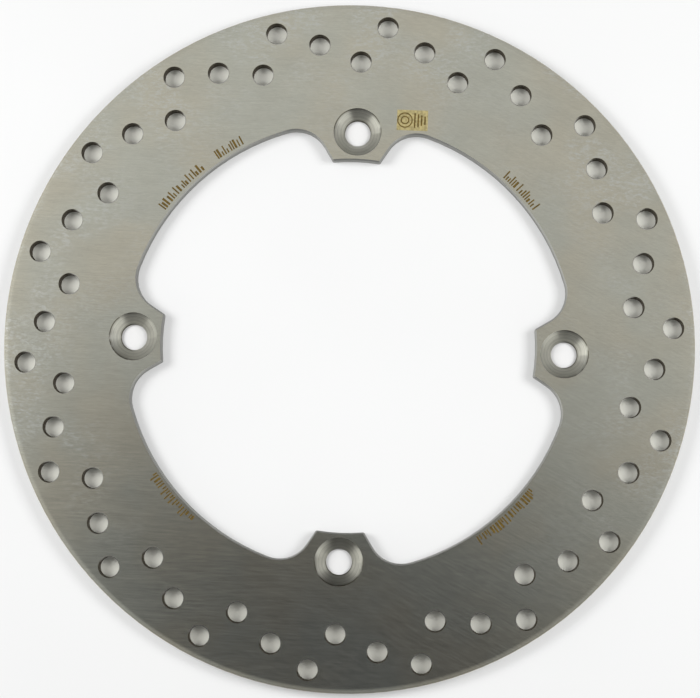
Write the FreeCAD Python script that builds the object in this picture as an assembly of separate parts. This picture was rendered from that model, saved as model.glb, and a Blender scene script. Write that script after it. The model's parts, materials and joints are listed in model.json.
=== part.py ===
"""Rear brake disc of a motorcycle, one machined plate of stainless steel, in millimetres.

The disc lies on its hub side: the origin is the centre of the hub side face, and +Z points out
of the face that holds the screw countersinks. The four ears point inwards along the X and Y axes.
"""
import FreeCAD, Part
import math
import os

# Plate
DISC_RADIUS = 120.0            # running track, outer edge
THICKNESS = 5.0                # new disc; it is worn out at 4.5
OUTER_EDGE_BREAK = 0.1         # 45 degree break on the outer edge, both faces

# Inner contour
BORE_RADIUS = 78.2             # inner edge between the ears
INNER_EDGE_BREAK = 0.5         # 45 degree break along the whole inner contour, both faces
EAR_COUNT = 4
EAR_TIP_RADIUS = 65.0          # the ear tips centre the disc on the hub's register
EAR_TIP_HALF_WIDTH = 8.25      # from the ear's axis to its sharp corner
EAR_FLANK_ANGLE = 32.0         # of each flank from the ear's axis, in degrees
EAR_CORNER_ROUND = 0.7         # the tip's two corners
EAR_ROOT_FILLET = 11.5         # flank to bore

# Screw holes, one in each ear, for M8 countersunk screws
SCREW_CIRCLE_RADIUS = 75.0
SCREW_HOLE_RADIUS = 4.5
COUNTERSINK_RADIUS = 8.4       # at the face
COUNTERSINK_HALF_ANGLE = 45.0
SCREW_EDGE_BREAK = 0.3         # 45 degree break on the hub side

# Drilled vent holes: swept rows of three, one hole on each of three circles
VENT_ROWS = 18
VENT_HOLE_RADIUS = 3.5
VENT_EDGE_BREAK = 0.3          # 45 degree break at each end, both faces
VENT_OUTER_CIRCLE = 112.7
VENT_CIRCLE_STEP = 6.45        # radial distance from one circle to the next
VENT_CIRCLES = 3
VENT_PITCH = 15.68             # from hole to hole along a row
VENT_ROW_START = 5.37          # polar angle of the first row's outermost hole, in degrees

FULL_TURN = 360.0
OVERSHOOT = 1.0                # how far each cutter runs past a face
LEVEL = 0.01                   # an edge rises by less than this if it is level
UP = FreeCAD.Vector(0, 0, 1)


def point(x, y, z=0.0):
    return FreeCAD.Vector(x, y, z)


def turned(vector, degrees):
    """The vector turned about Z."""
    return FreeCAD.Rotation(UP, degrees).multVec(vector)


def mirrored(vector):
    """The vector on the other side of the ear's axis, which is Y in the ear's own frame."""
    return point(-vector.x, vector.y)


def along(start, direction, radius):
    """How far to go from start along a unit direction to come out of a circle about the origin."""
    middle = -start.dot(direction)
    return middle + math.sqrt(middle ** 2 - start.dot(start) + radius ** 2)


def arc(start, end, centre):
    """The short arc about centre from start to end."""
    radius = (start - centre).Length
    chord_middle = (start + end) * 0.5
    crown = centre + (chord_middle - centre).normalize() * radius
    return Part.Arc(start, crown, end).toShape()


def ear_outline():
    """Points and centres of one flank in the ear's frame, from the tip to the bore."""
    angle = math.radians(EAR_FLANK_ANGLE)
    flank = point(math.sin(angle), math.cos(angle))
    outward = point(math.cos(angle), -math.sin(angle))
    corner = point(EAR_TIP_HALF_WIDTH, math.sqrt(EAR_TIP_RADIUS ** 2 - EAR_TIP_HALF_WIDTH ** 2))

    round_base = corner - outward * EAR_CORNER_ROUND
    reach = EAR_TIP_RADIUS + EAR_CORNER_ROUND
    flank_start = along(round_base, flank, reach)
    round_centre = round_base + flank * flank_start

    fillet_base = corner + outward * EAR_ROOT_FILLET
    reach = BORE_RADIUS - EAR_ROOT_FILLET
    flank_end = along(fillet_base, flank, reach)
    fillet_centre = fillet_base + flank * flank_end

    return {
        "tip_end": round_centre * (EAR_TIP_RADIUS / round_centre.Length),
        "round_centre": round_centre,
        "flank_start": corner + flank * flank_start,
        "flank_end": corner + flank * flank_end,
        "fillet_centre": fillet_centre,
        "bore_start": fillet_centre * (BORE_RADIUS / fillet_centre.Length),
    }


def ear_edges(heading):
    """One ear from the bore on its clockwise side, round its tip, to the bore on the other."""
    right = {name: turned(place, heading) for name, place in ear_outline().items()}
    left = {name: turned(mirrored(place), heading) for name, place in ear_outline().items()}
    return [
        arc(right["bore_start"], right["flank_end"], right["fillet_centre"]),
        Part.makeLine(right["flank_end"], right["flank_start"]),
        arc(right["flank_start"], right["tip_end"], right["round_centre"]),
        arc(right["tip_end"], left["tip_end"], point(0, 0)),
        arc(left["tip_end"], left["flank_start"], left["round_centre"]),
        Part.makeLine(left["flank_start"], left["flank_end"]),
        arc(left["flank_end"], left["bore_start"], left["fillet_centre"]),
    ]


def inner_contour():
    """The closed wire of the ears and the bore between them."""
    edges = []
    ear_step = FULL_TURN / EAR_COUNT
    bore_start = ear_outline()["bore_start"]
    for index in range(EAR_COUNT):
        heading = index * ear_step
        edges += ear_edges(heading)
        here = turned(mirrored(bore_start), heading)
        there = turned(bore_start, heading + ear_step)
        edges.append(arc(here, there, point(0, 0)))
    return Part.Wire(edges)


def is_level(edge):
    """Whether the edge lies at one height, as those between a face and a wall do."""
    return edge.BoundBox.ZLength < LEVEL


def is_outer(edge):
    """Whether the edge runs round the outside of the disc."""
    return edge.BoundBox.XLength > DISC_RADIUS


def plate():
    """The plate with its ears, before any drilling, its edges broken on both faces."""
    blank = Part.makeCylinder(DISC_RADIUS, THICKNESS)
    opening = Part.Face(inner_contour())
    opening.translate(UP * -OVERSHOOT)
    window = opening.extrude(UP * (THICKNESS + 2 * OVERSHOOT))
    ring = blank.cut(window)
    level = [edge for edge in ring.Edges if is_level(edge)]
    inner_edges = [edge for edge in level if not is_outer(edge)]
    ring = ring.makeChamfer(INNER_EDGE_BREAK, inner_edges)
    level = [edge for edge in ring.Edges if is_level(edge)]
    outer_edges = [edge for edge in level if is_outer(edge)]
    return ring.makeChamfer(OUTER_EDGE_BREAK, outer_edges)


def turned_cutter(profile):
    """The solid swept by a half profile of (radius, height) points about Z."""
    corners = [point(radius, 0, height) for radius, height in profile]
    outline = Part.makePolygon(corners + [corners[0]])
    return Part.Face(outline).revolve(point(0, 0), UP, FULL_TURN)


def vent_cutter():
    """A drill with a small 45 degree break at each face."""
    mouth = VENT_HOLE_RADIUS + VENT_EDGE_BREAK + OVERSHOOT
    return turned_cutter([
        (0, -OVERSHOOT),
        (mouth, -OVERSHOOT),
        (VENT_HOLE_RADIUS, VENT_EDGE_BREAK),
        (VENT_HOLE_RADIUS, THICKNESS - VENT_EDGE_BREAK),
        (mouth, THICKNESS + OVERSHOOT),
        (0, THICKNESS + OVERSHOOT),
    ])


def screw_cutter():
    """A screw's clearance hole, its countersink, and the break on the hub side."""
    slope = math.tan(math.radians(COUNTERSINK_HALF_ANGLE))
    cone_depth = (COUNTERSINK_RADIUS - SCREW_HOLE_RADIUS) / slope
    return turned_cutter([
        (0, -OVERSHOOT),
        (SCREW_HOLE_RADIUS + SCREW_EDGE_BREAK + OVERSHOOT, -OVERSHOOT),
        (SCREW_HOLE_RADIUS, SCREW_EDGE_BREAK),
        (SCREW_HOLE_RADIUS, THICKNESS - cone_depth),
        (COUNTERSINK_RADIUS + OVERSHOOT * slope, THICKNESS + OVERSHOOT),
        (0, THICKNESS + OVERSHOOT),
    ])


def vent_row():
    """Places of one row's holes, from the outer circle inwards, swept back clockwise."""
    places = []
    heading = VENT_ROW_START
    radius = VENT_OUTER_CIRCLE
    for _ in range(VENT_CIRCLES):
        places.append(turned(point(radius, 0), heading))
        inner = radius - VENT_CIRCLE_STEP
        cosine = (radius ** 2 + inner ** 2 - VENT_PITCH ** 2) / (2 * radius * inner)
        heading -= math.degrees(math.acos(cosine))
        radius = inner
    return places


def cutters():
    """Every drilled hole's cutter, in its place."""
    tools = []
    for index in range(EAR_COUNT):
        tool = screw_cutter()
        tool.translate(turned(point(SCREW_CIRCLE_RADIUS, 0), index * FULL_TURN / EAR_COUNT))
        tools.append(tool)
    for index in range(VENT_ROWS):
        for place in vent_row():
            tool = vent_cutter()
            tool.translate(turned(place, index * FULL_TURN / VENT_ROWS))
            tools.append(tool)
    return tools


def brake_disc():
    return plate().cut(Part.makeCompound(cutters()))


def write(name, shape):
    shape.exportStep(os.path.join("parts", name + ".step"))


os.makedirs("parts", exist_ok=True)
write("brake_disc", brake_disc())
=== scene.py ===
"""Looks of a motorcycle brake disc: ground stainless steel, lying on a pale table under studio light.

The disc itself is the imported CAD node, which gets one procedural steel material. Its laser-etched marks,
replaced here by generic ticks and a plain badge, are thin pieces of their own. Lengths are in metres.
"""

import json
import math
import random

import bmesh
import bpy
from mathutils import Matrix, Vector


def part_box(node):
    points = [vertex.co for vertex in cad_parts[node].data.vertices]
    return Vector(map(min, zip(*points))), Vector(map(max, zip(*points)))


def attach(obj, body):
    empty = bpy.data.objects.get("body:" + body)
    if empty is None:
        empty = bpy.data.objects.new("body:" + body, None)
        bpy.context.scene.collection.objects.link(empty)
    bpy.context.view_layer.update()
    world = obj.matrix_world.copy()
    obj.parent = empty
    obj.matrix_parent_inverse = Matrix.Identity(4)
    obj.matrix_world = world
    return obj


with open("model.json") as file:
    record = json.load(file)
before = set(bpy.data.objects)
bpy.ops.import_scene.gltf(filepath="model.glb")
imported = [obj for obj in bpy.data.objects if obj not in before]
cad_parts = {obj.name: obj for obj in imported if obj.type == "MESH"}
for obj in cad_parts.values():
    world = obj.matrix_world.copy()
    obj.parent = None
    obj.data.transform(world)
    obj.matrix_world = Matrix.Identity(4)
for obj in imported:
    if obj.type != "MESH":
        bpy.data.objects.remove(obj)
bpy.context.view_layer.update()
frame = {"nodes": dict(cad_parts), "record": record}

MM = 0.001
DISC = "brake_disc"

# Sizes taken from the frame
LOW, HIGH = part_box(DISC)
RADIUS = HIGH.x
FACE = HIGH.z
SCREWS = next(m for m in frame["record"]["mounts"] if m["name"] == "hub_screws")
SCREW_CIRCLE = SCREWS["dims"]["pcd_mm"] * MM / 2
SCREW_HOLE = SCREWS["dims"]["hole_r_mm"] * MM

# Regions of the disc that differ in finish
COUNTERSINK = 8.4 * MM          # radius at the face
SCREW_MARGIN = 0.1 * MM
VENTS_INSIDE = 95.0 * MM        # the vent holes lie between these two radii
VENTS_OUTSIDE = 117.5 * MM
RIM_DEPTH = 1.0 * MM            # the outer wall and its broken edge lie this near the outside

# How level a surface is, from 0 for a wall to 1 for a face: where each mask begins and ends
FACE_LEVEL = (0.97, 0.99)
WALL_LEVEL = (0.25, 0.30)
INWARD_FACING = (-0.3, 0.1)     # the normal's part along the outward direction
OUTER_SIDE = (-0.3, 0.3)        # the same for the direction from a screw's axis


# ---------------------------------------------------------------- node helper

class Nodes:
    """Short calls for building a node tree. Most return the new node's output socket."""

    def __init__(self, tree):
        self.tree = tree
        tree.nodes.clear()

    def add(self, kind, **settings):
        node = self.tree.nodes.new(kind)
        for name, value in settings.items():
            setattr(node, name, value)
        return node

    def feed(self, socket, value):
        if isinstance(value, bpy.types.NodeSocket):
            self.tree.links.new(value, socket)
        else:
            socket.default_value = value

    def maths(self, operation, *values):
        node = self.add("ShaderNodeMath", operation=operation)
        for socket, value in zip(node.inputs, values):
            self.feed(socket, value)
        return node.outputs[0]

    def product(self, first, *others):
        for other in others:
            first = self.maths("MULTIPLY", first, other)
        return first

    def between(self, value, low, high):
        """1 where the value lies between the two, 0 elsewhere."""
        return self.product(self.maths("GREATER_THAN", value, low), self.maths("LESS_THAN", value, high))

    def vector(self, operation, *values):
        node = self.add("ShaderNodeVectorMath", operation=operation)
        for socket, value in zip(node.inputs, values):
            self.feed(socket, value)
        return node.outputs[1 if operation in ("LENGTH", "DOT_PRODUCT") else 0]

    def join(self, x, y, z=0.0):
        node = self.add("ShaderNodeCombineXYZ")
        for socket, value in zip(node.inputs, (x, y, z)):
            self.feed(socket, value)
        return node.outputs[0]

    def split(self, vector):
        node = self.add("ShaderNodeSeparateXYZ")
        self.feed(node.inputs[0], vector)
        return node.outputs

    def step(self, value, low, high, to_low=0.0, to_high=1.0, smooth=True):
        """Goes from to_low at low to to_high at high, and stays there."""
        kind = "SMOOTHSTEP" if smooth else "LINEAR"
        node = self.add("ShaderNodeMapRange", interpolation_type=kind)
        for socket, number in zip(node.inputs, (value, low, high, to_low, to_high)):
            self.feed(socket, number)
        return node.outputs[0]

    def varied(self, noise, spread, change, middle=1.0):
        """A number that follows the noise about the middle, by up to the change each way."""
        low, high = 0.5 - spread, 0.5 + spread
        return self.step(noise, low, high, middle - change, middle + change, smooth=False)

    def mix(self, factor, first, second):
        """Between two numbers."""
        node = self.add("ShaderNodeMix", data_type="FLOAT")
        for name, value in (("Factor", factor), ("A", first), ("B", second)):
            self.feed(node.inputs[name], value)
        return node.outputs[0]

    def mix_vector(self, factor, first, second):
        node = self.add("ShaderNodeMix", data_type="VECTOR")
        sockets = (node.inputs[0], node.inputs[4], node.inputs[5])
        for socket, value in zip(sockets, (factor, first, second)):
            self.feed(socket, value)
        return node.outputs[1]

    def mix_colour(self, factor, first, second, blend="MIX"):
        node = self.add("ShaderNodeMix", data_type="RGBA", blend_type=blend)
        sockets = (node.inputs[0], node.inputs[6], node.inputs[7])
        for socket, value in zip(sockets, (factor, first, second)):
            self.feed(socket, value)
        return node.outputs[2]

    def shaded(self, colour, shade):
        """The colour times a number."""
        return self.mix_colour(1.0, colour, self.join(shade, shade, shade), blend="MULTIPLY")

    def noise(self, place, size, detail=2.0, roughness=0.5):
        """Noise from 0 to 1 whose grains have that size, one length or one for each axis."""
        sizes = size if isinstance(size, tuple) else (size, size, size)
        at = self.vector("DIVIDE", place, sizes)
        node = self.add("ShaderNodeTexNoise")
        self.feed(node.inputs["Vector"], at)
        node.inputs["Scale"].default_value = 1.0
        node.inputs["Detail"].default_value = detail
        node.inputs["Roughness"].default_value = roughness
        return node.outputs["Fac"]

    def turned(self, vector, degrees):
        node = self.add("ShaderNodeVectorRotate", rotation_type="Z_AXIS")
        self.feed(node.inputs["Vector"], vector)
        node.inputs["Angle"].default_value = math.radians(degrees)
        return node.outputs[0]

    def surface(self, shader):
        output = self.add("ShaderNodeOutputMaterial")
        self.feed(output.inputs["Surface"], shader.outputs[0])


def new_material(name):
    material = bpy.data.materials.new(name)
    material.use_nodes = True
    return material, Nodes(material.node_tree)


# ---------------------------------------------------------------- where on the disc

def from_nearest_screw(n, flat_place):
    """From the axis of the nearest of the four screws, which lie on the two axes, to the point."""
    x, y, z = n.split(flat_place)
    on_x = n.maths("GREATER_THAN", n.maths("ABSOLUTE", x), n.maths("ABSOLUTE", y))
    on_y = n.maths("SUBTRACT", 1.0, on_x)
    centre_x = n.product(on_x, n.maths("SIGN", x), SCREW_CIRCLE)
    centre_y = n.product(on_y, n.maths("SIGN", y), SCREW_CIRCLE)
    return n.vector("SUBTRACT", flat_place, n.join(centre_x, centre_y))


def regions(n):
    """Which finish each point of the disc has, and where shade is painted, as masks from 0 to 1, with its
    coordinates.
    """
    coordinates = n.add("ShaderNodeTexCoord")
    place = coordinates.outputs["Object"]
    normal = coordinates.outputs["Normal"]
    x, y, z = n.split(place)
    flat_place = n.join(x, y)
    outward = n.vector("NORMALIZE", flat_place)
    radius = n.vector("LENGTH", flat_place)
    from_screw = from_nearest_screw(n, flat_place)
    screw = n.vector("LENGTH", from_screw)

    level = n.maths("ABSOLUTE", n.split(normal)[2])
    face = n.step(level, *FACE_LEVEL)
    wall = n.step(level, *WALL_LEVEL, 1.0, 0.0)
    slope = n.maths("SUBTRACT", 1.0, n.maths("MAXIMUM", face, wall))
    near_screw = n.maths("LESS_THAN", screw, COUNTERSINK + SCREW_MARGIN)
    at_vents = n.between(radius, VENTS_INSIDE, VENTS_OUTSIDE)
    at_rim = n.maths("GREATER_THAN", radius, RADIUS - RIM_DEPTH)
    inward_facing = n.step(n.vector("DOT_PRODUCT", normal, outward), *INWARD_FACING, 1.0, 0.0)
    screw_side = n.vector("DOT_PRODUCT", n.vector("NORMALIZE", from_screw), outward)

    # Painted shade: the walls of the vents and screw holes, and each vent's broken edge on its outer side,
    # take a dark colour
    vent_edge = n.product(slope, at_vents)
    vent_shadow = n.product(vent_edge, inward_facing)
    hole_wall = n.product(wall, n.maths("ADD", at_vents, near_screw))
    return {
        "place": place, "x": x, "y": y, "radius": radius,
        "from_screw": from_screw, "screw": screw,
        "wall": wall,
        "slope": slope,
        "cone": n.product(slope, near_screw),
        "outer_side": n.step(screw_side, *OUTER_SIDE),
        "painted_hole_shade": n.maths("ADD", hole_wall, vent_shadow),
        "vent_break": n.maths("SUBTRACT", vent_edge, vent_shadow),
        "rim": n.product(slope, at_rim),
        "outer_wall": n.product(wall, at_rim),
    }


# ---------------------------------------------------------------- ground face

STEEL_WARM = (0.583, 0.558, 0.455, 1.0)
STEEL_COOL = (0.558, 0.560, 0.480, 1.0)
PATCH_SIZE = 30 * MM            # of the warm and cool patches
PATCH_EDGE = (0.35, 0.65)

# Grain sizes along X, along Y and through the disc
GRAIN = (7 * MM, 0.42 * MM, 9 * MM)
SLANTED_GRAIN = (6 * MM, 0.45 * MM, 9 * MM)
CLOUDS = (14 * MM, 9 * MM, 9 * MM)
FINE_GRAIN = (1.6 * MM, 0.30 * MM, 9 * MM)
SLANT = 26                      # of the second set of streaks, in degrees
SLANT_PLACE = (-60 * MM, 60 * MM)
SLANT_SHARE = (0.15, 0.75)      # at those two X places

# For each noise, how far from its middle it is followed, and the change of shade there
GRAIN_SHADE = (0.3, 0.08)
CLOUD_SHADE = (0.2, 0.035)
FINE_SHADE = (0.25, 0.05)

SMUDGE = (0.68, 0.69, 0.64, 1.0)
SMUDGE_COVER = 0.75
SCUFF_SHIFT = (37 * MM, -12 * MM, 0.0)      # of the noise, for its clumps to lie as in the photo
SCUFF_CLUMP = 19 * MM
SCUFF_CLUMP_EDGE = (0.40, 0.60)
SCUFF_GRAIN = (2.0 * MM, 0.9 * MM, 9 * MM)
SCUFF_GRAIN_EDGE = (0.44, 0.66)
SCUFF_RADII = (88 * MM, 104 * MM)
SCUFF_INSIDE = 0.35             # strength inside the smaller of those radii
SCUFF_HEIGHTS = (-85 * MM, -15 * MM)
SCUFF_BELOW = 0.10              # strength below the lower of those Y places
RIM_BAND = 2.0 * MM             # duller band along the outer edge
RIM_BAND_EDGE = 0.4             # of its width
RIM_BAND_STRENGTH = 0.55


def streaks(n, at):
    """Grinding streaks: along X on the left, joined by a slanting set towards the right."""
    plain = n.noise(at["place"], GRAIN, detail=3.0, roughness=0.6)
    slanted = n.noise(n.turned(at["place"], SLANT), SLANTED_GRAIN, detail=3.0, roughness=0.6)
    to_right = n.step(at["x"], *SLANT_PLACE, *SLANT_SHARE)
    return n.mix(to_right, plain, slanted)


def smudges(n, at):
    """Clumps of fine pale scuffs, mostly on the upper part."""
    place = n.vector("ADD", at["place"], SCUFF_SHIFT)
    clump = n.step(n.noise(place, SCUFF_CLUMP, detail=1.0), *SCUFF_CLUMP_EDGE)
    grain = n.noise(place, SCUFF_GRAIN, detail=4.0, roughness=0.75)
    outside = n.step(at["radius"], *SCUFF_RADII, SCUFF_INSIDE, 1.0)
    above = n.step(at["y"], *SCUFF_HEIGHTS, SCUFF_BELOW, 1.0)
    return n.product(clump, outside, above, n.step(grain, *SCUFF_GRAIN_EDGE))


def dull_rim(n, at):
    inner = RADIUS - RIM_BAND
    return n.step(at["radius"], inner, RADIUS - RIM_BAND_EDGE * RIM_BAND, 0.0, RIM_BAND_STRENGTH)


def ground_colour(n, at, grain, scuffs):
    """Warm and cool patches, streaks and pale scuffs."""
    patches = n.noise(at["place"], PATCH_SIZE, detail=2.0)
    colour = n.mix_colour(n.step(patches, *PATCH_EDGE), STEEL_WARM, STEEL_COOL)
    clouds = n.noise(at["place"], CLOUDS, detail=3.0, roughness=0.6)
    fine = n.noise(at["place"], FINE_GRAIN, detail=2.0, roughness=0.7)
    shade = n.product(
        n.varied(grain, *GRAIN_SHADE),
        n.varied(clouds, *CLOUD_SHADE),
        n.varied(fine, *FINE_SHADE),
    )
    return n.mix_colour(n.product(scuffs, SMUDGE_COVER), n.shaded(colour, shade), SMUDGE)


# ---------------------------------------------------------------- countersinks

TURNED = (0.62, 0.615, 0.555, 1.0)
RING_PITCH = 0.25 * MM
RING_WOBBLE = 0.5 * MM
RING_WOBBLE_SIZE = 5 * MM
RING_EDGE = (0.25, 0.75)
RING_SHADE = (0.58, 1.38)

# Painted shade: the bottom ear's countersink is darkened above and below its hole
LOW_EAR = (-60 * MM, -50 * MM)  # the bottom ear lies below these Y places
LOW_EAR_PAINTED_SHADE = 0.58
LOW_EAR_PARTS = (0.40, 0.95)    # sine of the angle from X, where that shade begins and is full

# Painted shade along each countersink's outer edge and round its hole, stronger on the side away from the
# disc's centre
CONE_SHADE_COLOUR = (0.055, 0.048, 0.026, 1.0)
CONE_SHADE_WIDTH = 0.42 * MM         # of the dark line just inside a countersink's outer edge
CONE_SHADE_HALO = 1.4 * MM
HALO_STRENGTH = 0.5
CONE_SHADE_GRAIN = 3.0 * MM
CONE_SHADE_GRAIN_EDGE = (0.35, 0.50)
CONE_SHADE_THINNEST = 0.4
CONE_SHADE_SIDES = (0.12, 0.92)      # strength towards the disc's centre and away from it
LIP_WIDTH = 0.38 * MM           # of the dark line where a countersink meets its hole
LIP_STRENGTH = 0.75


def turned_rings(n, at):
    """Concentric tool marks of the countersinks."""
    wobble = n.noise(at["place"], RING_WOBBLE_SIZE, detail=1.0)
    ring_place = n.join(n.maths("ADD", at["screw"], n.product(wobble, RING_WOBBLE)), 0.0)
    return n.noise(ring_place, RING_PITCH, detail=2.0, roughness=0.7)


def painted_low_ear_shade(n, at):
    """Painted shade: the bottom ear's countersink is darker above and below its hole."""
    x, y, z = n.split(at["from_screw"])
    upright = n.maths("DIVIDE", n.maths("ABSOLUTE", y), at["screw"])
    above_and_below = n.step(upright, *LOW_EAR_PARTS)
    low = n.step(at["y"], *LOW_EAR, 1.0, 0.0)
    return n.mix(n.product(low, above_and_below), 1.0, LOW_EAR_PAINTED_SHADE)


def turned_colour(n, at, rings):
    # The rings' shade, times the painted shade on the bottom ear
    shade = n.product(n.step(rings, *RING_EDGE, *RING_SHADE), painted_low_ear_shade(n, at))
    return n.shaded(TURNED, shade)


def painted_cone_shade(n, at):
    """Painted shade: dark lines on the outer side of each countersink, round its edge and round its hole.
    """
    line = n.step(at["screw"], COUNTERSINK - CONE_SHADE_WIDTH, COUNTERSINK - CONE_SHADE_WIDTH / 2)
    halo = n.step(at["screw"], COUNTERSINK - CONE_SHADE_HALO, COUNTERSINK, 0.0, HALO_STRENGTH)
    grain = n.noise(at["place"], CONE_SHADE_GRAIN, detail=2.0)
    uneven = n.step(grain, *CONE_SHADE_GRAIN_EDGE, CONE_SHADE_THINNEST, 1.0)
    side = n.mix(at["outer_side"], *CONE_SHADE_SIDES)
    edge = n.product(n.maths("MAXIMUM", line, halo), uneven, side)
    lip = n.step(at["screw"], SCREW_HOLE + LIP_WIDTH / 2, SCREW_HOLE + LIP_WIDTH, 1.0, 0.0)
    lip = n.product(lip, at["outer_side"], LIP_STRENGTH)
    return n.product(at["cone"], n.maths("MAXIMUM", edge, lip))


# ---------------------------------------------------------------- steel

CUT_WALL = (0.24, 0.24, 0.225, 1.0)         # of the bore and the ears
CUT_EDGE = (0.37, 0.37, 0.35, 1.0)
OUTER_WALL = (0.42, 0.415, 0.385, 1.0)
RIM = (0.60, 0.56, 0.45, 1.0)
# Painted shade inside the vents and screw holes and on each vent's outer broken edge
VENT_WALL = (0.085, 0.074, 0.055, 1.0)
VENT_BREAK = (0.32, 0.315, 0.28, 1.0)
# Painted shade: the vents' inner broken edges are darker on the lower part of the disc
VENT_BREAK_LOW = (0.10, 0.10, 0.09, 1.0)    # on the lower part of the disc
VENT_BREAK_HEIGHTS = (-95 * MM, -35 * MM)
VENT_BREAK_METAL = 0.15

FACE_ROUGHNESS = 0.165
GRAIN_ROUGHNESS = (0.3, 0.015)      # how far the grain is followed, and the change there
SCUFF_ROUGHNESS = 0.04
RIM_ROUGHNESS = 0.13
TURNED_ROUGHNESS = 0.28
CUT_ROUGHNESS = 0.42
VENT_ROUGHNESS = 0.55
ANISOTROPY = 0.55
BUMP_STRENGTH = 0.25
BUMP_DEPTH = 0.01 * MM


def steel_colour(n, at, ground, rings):
    """Each region's colour, laid over the ground face's."""
    # Painted shade: the vents' inner broken edges darken towards the bottom
    low_to_high = n.step(at["y"], *VENT_BREAK_HEIGHTS)
    layers = (
        (at["slope"], CUT_EDGE),
        (at["wall"], CUT_WALL),
        (at["outer_wall"], OUTER_WALL),
        (at["cone"], turned_colour(n, at, rings)),
        (painted_cone_shade(n, at), CONE_SHADE_COLOUR),
        (at["vent_break"], n.mix_colour(low_to_high, VENT_BREAK_LOW, VENT_BREAK)),
        (at["painted_hole_shade"], VENT_WALL),
        (at["rim"], RIM),
    )
    colour = ground
    for mask, layer in layers:
        colour = n.mix_colour(mask, colour, layer)
    return colour


def steel_roughness(n, at, grain, scuffs):
    face = n.varied(grain, *GRAIN_ROUGHNESS, middle=FACE_ROUGHNESS)
    duller = n.maths("ADD", n.product(scuffs, SCUFF_ROUGHNESS), n.product(dull_rim(n, at), RIM_ROUGHNESS))
    roughness = n.maths("ADD", face, duller)
    roughness = n.mix(n.maths("MAXIMUM", at["wall"], at["slope"]), roughness, CUT_ROUGHNESS)
    roughness = n.mix(at["cone"], roughness, TURNED_ROUGHNESS)
    return n.mix(at["painted_hole_shade"], roughness, VENT_ROUGHNESS)


def groove_tangent(n, at):
    """Across the grooves: Y on the face, Z on the walls, away from the screw on the countersinks."""
    tangent = n.mix_vector(at["wall"], (0.0, 1.0, 0.0), (0.0, 0.0, 1.0))
    return n.mix_vector(at["cone"], tangent, n.vector("NORMALIZE", at["from_screw"]))


def groove_bump(n, height):
    bump = n.add("ShaderNodeBump")
    bump.inputs["Strength"].default_value = BUMP_STRENGTH
    bump.inputs["Distance"].default_value = BUMP_DEPTH
    n.feed(bump.inputs["Height"], height)
    return bump.outputs[0]


def steel():
    """Ground faces, turned countersinks, cut inner edge and a bright rim, with painted shade on the
    drilled walls, on the vents' outer edges and round the countersinks.
    """
    material, n = new_material("ground_steel_look")
    at = regions(n)
    grain = streaks(n, at)
    rings = turned_rings(n, at)
    scuffs = smudges(n, at)
    ground = ground_colour(n, at, grain, scuffs)

    shader = n.add("ShaderNodeBsdfPrincipled")
    shader.inputs["Anisotropic"].default_value = ANISOTROPY
    n.feed(shader.inputs["Metallic"], n.mix(at["vent_break"], 1.0, VENT_BREAK_METAL))
    n.feed(shader.inputs["Base Color"], steel_colour(n, at, ground, rings))
    n.feed(shader.inputs["Roughness"], steel_roughness(n, at, grain, scuffs))
    n.feed(shader.inputs["Normal"], groove_bump(n, n.mix(at["cone"], grain, rings)))
    n.feed(shader.inputs["Tangent"], groove_tangent(n, at))
    n.surface(shader)
    return material


# ---------------------------------------------------------------- etched marks

MARK_HEIGHT = 0.02 * MM
MARK_SINK = 0.01 * MM
MARK_COLOUR = (0.100, 0.062, 0.006, 1.0)
PLATE_COLOUR = (0.34, 0.285, 0.13, 1.0)
BURN_SIZE = 0.8 * MM
BURN_EDGE = (0.3, 0.7)
BURN_SHADE = (0.75, 1.25)
OXIDE_ROUGHNESS = (0.5, 0.65)
OXIDE_METAL = 0.1
OXIDE_SPECULAR = 0.3

MARK_CIRCLE = 81.3 * MM         # the middle of every row of ticks
TICK_ROWS = ((145.6, 131.0), (127.0, 119.8), (49.6, 38.2), (-36.2, -53.8), (-143.8, -129.2))
TICK_FULL = 3.3 * MM
TICK_HEIGHTS = (0.5, 0.8, 1.0, 1.0)         # of the full height
TICK_WIDTHS_MM = (0.50, 0.55, 0.80)
TICK_GAPS_MM = (0.40, 0.50, 0.80)
TICK_SEED = 11

BADGE_CENTRE = (19.0 * MM, 79.8 * MM)
BADGE_SIZE = (10.8 * MM, 7.2 * MM)
BADGE_RINGS = ((1.1 * MM, 1.5 * MM), (2.3 * MM, 2.7 * MM))
BADGE_RINGS_PLACE = -0.24       # of the badge's width, from its middle
BADGE_BARS = 4
BADGE_BAR_PLACES = (0.08, 0.11)             # the first bar and the step, of the badge's width
BADGE_BAR_HEIGHTS = (0.72, -0.1)            # the same, of its height
BADGE_BAR_WIDTH = 0.5 * MM
RING_SEGMENTS = 40


def oxide(name, tint):
    """Amber oxide that a marking laser leaves on steel."""
    material, n = new_material(name)
    place = n.add("ShaderNodeTexCoord").outputs["Object"]
    burn = n.noise(place, BURN_SIZE, detail=2.0)
    shader = n.add("ShaderNodeBsdfPrincipled")
    shader.inputs["Metallic"].default_value = OXIDE_METAL
    shader.inputs["Specular IOR Level"].default_value = OXIDE_SPECULAR
    n.feed(shader.inputs["Base Color"], n.shaded(tint, n.step(burn, *BURN_EDGE, *BURN_SHADE)))
    n.feed(shader.inputs["Roughness"], n.step(burn, *BURN_EDGE, *OXIDE_ROUGHNESS))
    n.surface(shader)
    return material


def add_bar(mesh, place, width, height):
    """One closed etched bar; place is the matrix of its middle, with Y along its height."""
    size = Matrix.Diagonal((width, height, MARK_HEIGHT + MARK_SINK, 1.0))
    bmesh.ops.create_cube(mesh, size=1.0, matrix=place @ size)


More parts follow.
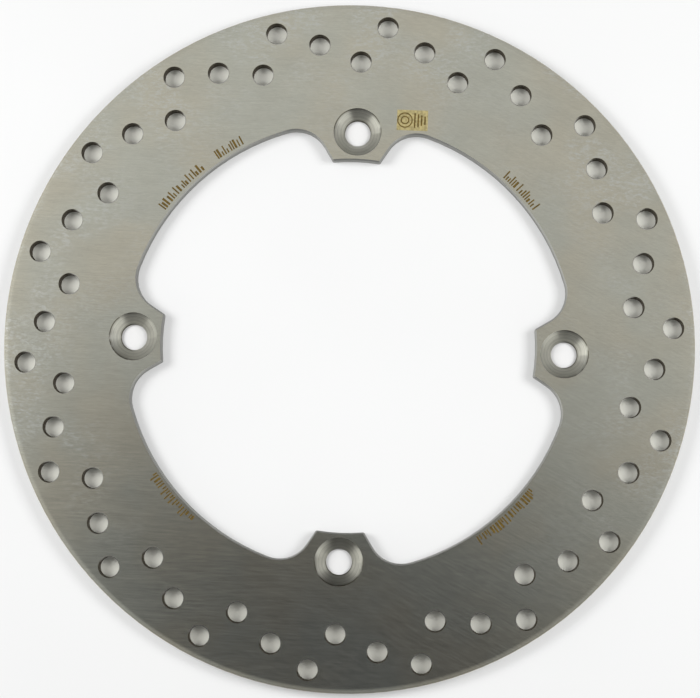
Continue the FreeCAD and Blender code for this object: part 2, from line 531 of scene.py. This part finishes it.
def on_face(x, y, turn=0.0, lift=0.0):
    """The frame of a point on the face, turned about Z by degrees."""
    middle = FACE + lift + (MARK_HEIGHT - MARK_SINK) / 2
    return Matrix.Translation((x, y, middle)) @ Matrix.Rotation(math.radians(turn), 4, "Z")


def on_circle(radius, azimuth):
    angle = math.radians(azimuth)
    return on_face(radius * math.cos(angle), radius * math.sin(angle), azimuth - 90)


def add_tick_row(mesh, first, last, chance):
    """Ticks of uneven width and height along the mark circle, from one azimuth to the other."""
    sweep = last - first
    length = abs(math.radians(sweep)) * MARK_CIRCLE
    position = 0.0
    while position < length:
        width = chance.choice(TICK_WIDTHS_MM) * MM
        height = chance.choice(TICK_HEIGHTS) * TICK_FULL
        azimuth = first + sweep * position / length
        add_bar(mesh, on_circle(MARK_CIRCLE + (height - TICK_FULL) / 2, azimuth), width, height)
        position += width + chance.choice(TICK_GAPS_MM) * MM


def add_ring(mesh, place, inner, outer):
    """One closed flat ring with Z up, in the frame of place."""
    levels = (-MARK_SINK, MARK_HEIGHT)
    loops = []
    for radius, level in ((inner, 0), (outer, 0), (outer, 1), (inner, 1)):
        loop = []
        for index in range(RING_SEGMENTS):
            angle = math.tau * index / RING_SEGMENTS
            corner = Vector((radius * math.cos(angle), radius * math.sin(angle), levels[level]))
            loop.append(mesh.verts.new(place @ corner))
        loops.append(loop)
    for side in range(4):
        here, there = loops[side], loops[(side + 1) % 4]
        for index in range(RING_SEGMENTS):
            after = (index + 1) % RING_SEGMENTS
            mesh.faces.new((here[index], there[index], there[after], here[after]))


def mesh_object(name, mesh, material):
    """A new object from a bmesh, which this uses up."""
    data = bpy.data.meshes.new(name)
    mesh.to_mesh(data)
    mesh.free()
    data.materials.append(material)
    made = bpy.data.objects.new(name, data)
    bpy.context.scene.collection.objects.link(made)
    return made


def finished_piece(name, mesh, material):
    """A piece that rides on the disc."""
    bmesh.ops.recalc_face_normals(mesh, faces=mesh.faces)
    piece = mesh_object(name, mesh, material)
    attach(piece, "root")


def etched_ticks():
    """Five rows of plain ticks along the bore, where the disc carries its markings."""
    chance = random.Random(TICK_SEED)
    mesh = bmesh.new()
    for first, last in TICK_ROWS:
        add_tick_row(mesh, first, last, chance)
    finished_piece("etched_ticks", mesh, oxide("dark_oxide", MARK_COLOUR))


def etched_badge_plate():
    """A plain light amber plate by the top ear."""
    plate = bmesh.new()
    add_bar(plate, on_face(*BADGE_CENTRE), *BADGE_SIZE)
    finished_piece("etched_badge_plate", plate, oxide("light_oxide", PLATE_COLOUR))


def etched_badge_lines():
    """A disc pictogram and four bars on the badge plate."""
    x, y = BADGE_CENTRE
    width, height = BADGE_SIZE
    lines = bmesh.new()
    ring_place = Matrix.Translation((x + width * BADGE_RINGS_PLACE, y, FACE + MARK_HEIGHT))
    for inner, outer in BADGE_RINGS:
        add_ring(lines, ring_place, inner, outer)
    first_place, place_step = BADGE_BAR_PLACES
    first_height, height_step = BADGE_BAR_HEIGHTS
    for index in range(BADGE_BARS):
        place = on_face(x + width * (first_place + place_step * index), y, lift=MARK_HEIGHT)
        add_bar(lines, place, BADGE_BAR_WIDTH, height * (first_height + height_step * index))
    finished_piece("etched_badge_lines", lines, oxide("badge_oxide", MARK_COLOUR))


# ---------------------------------------------------------------- table

FLOOR_SIZE = 30.0
FLOOR_GAP = 0.05 * MM
FLOOR_COLOUR = (0.56, 0.563, 0.562, 1.0)
FLOOR_GLOW = 0.27               # painted light: the sheet glows a little, which lifts its shadows
FLOOR_UNDER_DISC = (0.86, 0.86, 0.785, 1.0)     # painted warm light, for light that has met the steel
# Painted shade on the sheet seen through the screw holes
FLOOR_SHADE_IN_SCREW_HOLE = (0.72, 0.72, 0.72, 1.0)
UNDER_DISC_MARGIN = 3 * MM
SCREW_HOLE_MARGIN = 1.0 * MM
MOTTLE_SIZE = 90 * MM
MOTTLE_EDGE = (0.3, 0.7)
MOTTLE_SHADE = (0.99, 1.01)
FLOOR_ROUGHNESS = 0.9
BACKDROP = (0.90, 0.90, 0.90, 1.0)
BLACK = (0.0, 0.0, 0.0, 1.0)
SWEEP = (0.20, 0.60)            # between these radii the sheet fades into the backdrop


def table_look():
    """Matt white paper that glows a little near the disc, with painted warm light under the vents and
    painted shade in the screw holes.
    """
    material, n = new_material("pale_table_look")
    place = n.add("ShaderNodeTexCoord").outputs["Object"]
    x, y, z = n.split(place)
    radius = n.vector("LENGTH", place)
    from_screw = n.vector("LENGTH", from_nearest_screw(n, n.join(x, y)))
    under_vents = n.between(radius, VENTS_INSIDE - UNDER_DISC_MARGIN, VENTS_OUTSIDE)
    in_screw_hole = n.maths("LESS_THAN", from_screw, SCREW_HOLE + SCREW_HOLE_MARGIN)
    covered = n.maths("MAXIMUM", under_vents, in_screw_hole)
    far = n.step(radius, *SWEEP)

    tint = n.mix_colour(under_vents, FLOOR_COLOUR, FLOOR_UNDER_DISC)
    tint = n.mix_colour(in_screw_hole, tint, FLOOR_SHADE_IN_SCREW_HOLE)
    mottle = n.noise(place, MOTTLE_SIZE, detail=2.0)
    colour = n.shaded(tint, n.step(mottle, *MOTTLE_EDGE, *MOTTLE_SHADE))

    shader = n.add("ShaderNodeBsdfPrincipled")
    shader.inputs["Specular IOR Level"].default_value = 0.0
    shader.inputs["Roughness"].default_value = FLOOR_ROUGHNESS
    shader.inputs["Emission Color"].default_value = BACKDROP
    n.feed(shader.inputs["Base Color"], n.mix_colour(far, colour, BLACK))
    # Painted light: near the disc the sheet glows, except under the vents and screw holes; far away it
    # becomes the backdrop
    n.feed(shader.inputs["Emission Strength"], n.mix(far, n.mix(covered, FLOOR_GLOW, 0.0), 1.0))
    n.surface(shader)
    return material


def pale_table():
    """A matt white sheet that reaches the horizon and fades into the backdrop far from the disc."""
    mesh = bmesh.new()
    bmesh.ops.create_grid(mesh, x_segments=1, y_segments=1, size=FLOOR_SIZE / 2)
    table = mesh_object("pale_table", mesh, table_look())
    table.location.z = LOW.z - FLOOR_GAP


# ---------------------------------------------------------------- studio

CEILING = (0.70, 0.70, 0.70, 1.0)
CEILING_START = (0.70, 0.955)       # heights on the unit sphere between which it takes over
HORIZON = (0.36, 0.36, 0.36, 1.0)
UNLIT = (0.13, 0.13, 0.13, 1.0)     # the room above and below the picture
UNLIT_BELOW = (-0.85, -0.25)
UNLIT_ABOVE = (0.75, 0.97)
GLOW = (1.22, 1.22, 1.18, 1.0)
GLOW_AZIMUTHS = (-38.0, 196.0)      # two bright walls, low round the disc
GLOW_WIDTH = (0.82, 0.99)           # cosines from their middle
GLOW_TOP = (0.35, 0.62)
SIDE_SLOPES = (-0.35, 0.35)         # the ceiling is brighter on the left than on the right
SIDE_SHADE = (1.13, 0.87)
LOWEST = 0.02

SHADE = (0.008, 0.012, 0.022, 1.0)
SHADE_CENTRE = (-0.027, -0.070)     # of the dark overhead shape, as slopes from the vertical
SHADE_SIZE = (0.175, 0.130)
SHADE_TURN = 20.0
SHADE_SOFTNESS = 0.52


def overhead_shape(n, slope):
    """Mask of the soft dark ellipse overhead."""
    shifted = n.vector("SUBTRACT", slope, (*SHADE_CENTRE, 0.0))
    local = n.vector("DIVIDE", n.turned(shifted, SHADE_TURN), (*SHADE_SIZE, 1.0))
    distance = n.vector("LENGTH", local)
    return n.step(distance, 1 - SHADE_SOFTNESS, 1 + SHADE_SOFTNESS, 1.0, 0.0)


def low_room(n, x, y, z):
    """The room near the horizon: dim, darker before and behind, with two bright walls."""
    heading = n.vector("NORMALIZE", n.join(x, y))
    northing = n.split(heading)[1]
    below = n.step(northing, *UNLIT_BELOW, 1.0, 0.0)
    colour = n.mix_colour(n.maths("MAXIMUM", below, n.step(northing, *UNLIT_ABOVE)), HORIZON, UNLIT)
    for azimuth in GLOW_AZIMUTHS:
        middle = (math.cos(math.radians(azimuth)), math.sin(math.radians(azimuth)), 0.0)
        lobe = n.step(n.vector("DOT_PRODUCT", heading, middle), *GLOW_WIDTH)
        colour = n.mix_colour(n.product(lobe, n.step(z, *GLOW_TOP, 1.0, 0.0)), colour, GLOW)
    return colour


def sky():
    """A pale ceiling with one soft dark shape overhead, which the lower part of the disc mirrors."""
    world = bpy.data.worlds.new("studio")
    bpy.context.scene.world = world
    world.use_nodes = True
    n = Nodes(world.node_tree)
    x, y, z = n.split(n.add("ShaderNodeTexCoord").outputs["Generated"])
    height = n.maths("MAXIMUM", z, LOWEST)
    slope = n.join(n.maths("DIVIDE", x, height), n.maths("DIVIDE", y, height))
    colour = n.mix_colour(n.step(z, *CEILING_START), low_room(n, x, y, z), CEILING)
    colour = n.shaded(colour, n.step(n.split(slope)[0], *SIDE_SLOPES, *SIDE_SHADE))
    colour = n.mix_colour(overhead_shape(n, slope), colour, SHADE)
    seen = n.add("ShaderNodeLightPath").outputs["Is Camera Ray"]
    background = n.add("ShaderNodeBackground")
    n.feed(background.inputs["Color"], n.mix_colour(seen, colour, BACKDROP))
    output = n.add("ShaderNodeOutputWorld")
    n.feed(output.inputs["Surface"], background.outputs[0])


SOFTBOX_SIDE = 0.47
SOFTBOX_AHEAD = 0.08
SOFTBOX_HEIGHT = 0.53
SOFTBOX_SIZE = 0.32
SOFTBOX_POWER = 3.0


def softbox(name, side):
    """One square lamp to the side of the disc, facing its centre."""
    light = bpy.data.lights.new(name, "AREA")
    light.shape = "SQUARE"
    light.size = SOFTBOX_SIZE
    light.energy = SOFTBOX_POWER
    lamp = bpy.data.objects.new(name, light)
    lamp.location = (side * SOFTBOX_SIDE, SOFTBOX_AHEAD, SOFTBOX_HEIGHT)
    lamp.rotation_euler = (-lamp.location).to_track_quat("-Z", "Y").to_euler()
    lamp.visible_camera = False
    bpy.context.scene.collection.objects.link(lamp)


CAMERA_PLACE = Vector((0.02475, -0.06598, 0.7864))
CAMERA_AIM = Vector((0.0007, -0.0013, 0.005))
CAMERA_TURN = 2.51                  # of the picture's upright from +Y, in degrees
CAMERA_LENS = 116.22                # millimetres
CAMERA_SENSOR = 36.0


def camera():
    """Above the disc, a little towards its right and lower side."""
    data = bpy.data.cameras.new("camera")
    data.lens = CAMERA_LENS
    data.sensor_width = CAMERA_SENSOR
    turn = math.radians(CAMERA_TURN)
    back = (CAMERA_PLACE - CAMERA_AIM).normalized()
    upright = Vector((-math.sin(turn), math.cos(turn), 0.0))
    right = upright.cross(back).normalized()
    up = back.cross(right)
    place = Matrix((right, up, back)).transposed().to_4x4()
    place.translation = CAMERA_PLACE
    eye = bpy.data.objects.new("camera", data)
    eye.matrix_world = place
    bpy.context.scene.collection.objects.link(eye)
    bpy.context.scene.camera = eye


def dress():
    """The CAD disc keeps its mesh and gets the steel."""
    disc = frame["nodes"][DISC]
    disc.material_slots[0].material = steel()


dress()
etched_ticks()
etched_badge_plate()
etched_badge_lines()
pale_table()
sky()
softbox("softbox_left", -1)
softbox("softbox_right", 1)
camera()
bpy.context.scene.view_settings.view_transform = "Standard"
